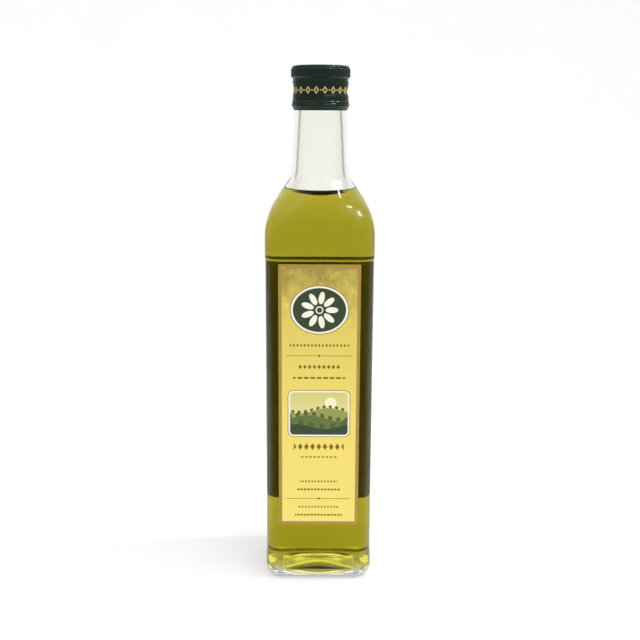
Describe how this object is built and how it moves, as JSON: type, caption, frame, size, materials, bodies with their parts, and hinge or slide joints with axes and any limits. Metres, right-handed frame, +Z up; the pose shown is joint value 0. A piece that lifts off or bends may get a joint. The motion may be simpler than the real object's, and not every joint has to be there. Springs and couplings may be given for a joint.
{
  "type": "olive oil bottle",
  "caption": "Square clear-glass oil bottle with sloping shoulders and a slim round neck, filled with green-gold oil, closed by a dark green metal screw cap and labelled front and back.",
  "frame": {"origin": "centre of the base, in the plane of the ring that the bottle stands on", "axes": "+Z up along the bottle, -Y out of the front label, +X to the right seen from the front"},
  "size_m": [0.0574, 0.0574, 0.275],
  "materials": {
    "clear_glass": "clear, polished",
    "green_oil": "clear green-gold oil",
    "green_lacquer": "semi-gloss lacquer over thin aluminium",
    "gold_paper": "coated paper with a satin gold print"
  },
  "bodies": {
    "root": {"glass_bottle": "clear_glass", "olive_oil": "green_oil", "screw_cap": "green_lacquer", "front_label": "gold_paper", "back_label": "gold_paper"}
  },
  "joints": []
}
